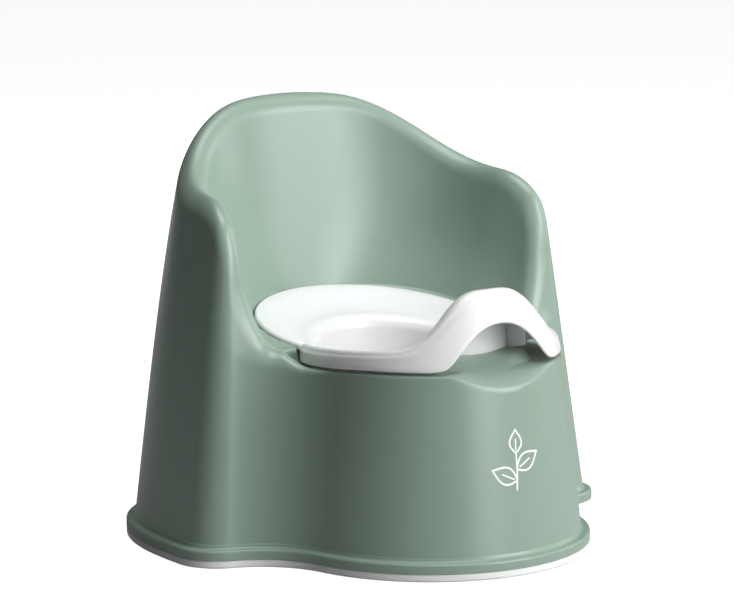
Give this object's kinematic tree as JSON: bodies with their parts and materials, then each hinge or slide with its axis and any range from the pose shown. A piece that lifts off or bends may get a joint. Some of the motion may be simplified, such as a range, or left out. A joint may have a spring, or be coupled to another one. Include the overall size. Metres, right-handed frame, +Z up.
{
  "type": "potty training chair",
  "caption": "Toddler potty chair: high-backed moulded shell with armrests, soft foot ring and a lift-out pot with a splash guard.",
  "frame": {"origin": "on the floor, at the centre of the footprint's box", "axes": "+Z up, -Y out of the chair's open front, +X across the chair"},
  "size_m": [0.38, 0.3499, 0.3265],
  "materials": {
    "shell_plastic": "semi-gloss sage green polypropylene",
    "soft_rubber": "satin off-white thermoplastic rubber",
    "pot_plastic": "glossy white polypropylene",
    "print_white": "thin white pad print"
  },
  "bodies": {
    "chair": {"chair_shell": "shell_plastic", "anti_slip_strip": "soft_rubber"},
    "potty": {"inner_potty": "pot_plastic"}
  },
  "joints": [
    {"name": "potty_lift", "type": "slide", "parent": "chair", "child": "potty", "axis": [0, 0, 1], "range_m": [0, 0.29]}
  ]
}
